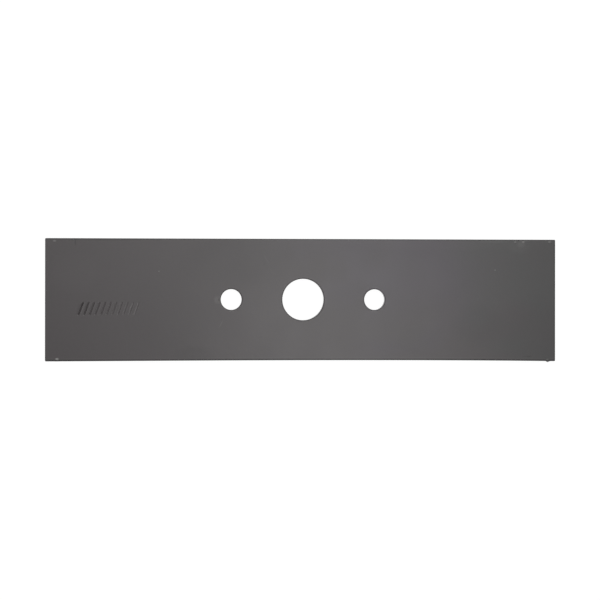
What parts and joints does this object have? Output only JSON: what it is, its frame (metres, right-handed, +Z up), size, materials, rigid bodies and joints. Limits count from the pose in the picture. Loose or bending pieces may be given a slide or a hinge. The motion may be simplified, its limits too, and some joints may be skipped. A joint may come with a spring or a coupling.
{
  "type": "rotary mower blade",
  "caption": "Flat, straight rotary mower or lawn edger blade: a rectangular steel bar with square ends, a large central arbor hole and a smaller bolt hole on each side of it.",
  "frame": {"origin": "centre of the arbor hole, on the plane of the underside", "axes": "+X along the blade's length, +Y across its width, +Z up through its thickness towards the face that the picture shows"},
  "size_m": [0.254, 0.0604, 0.0048],
  "materials": {
    "dark_grey_coating": "satin"
  },
  "bodies": {
    "root": {"mower_blade": "dark_grey_coating"}
  },
  "joints": []
}
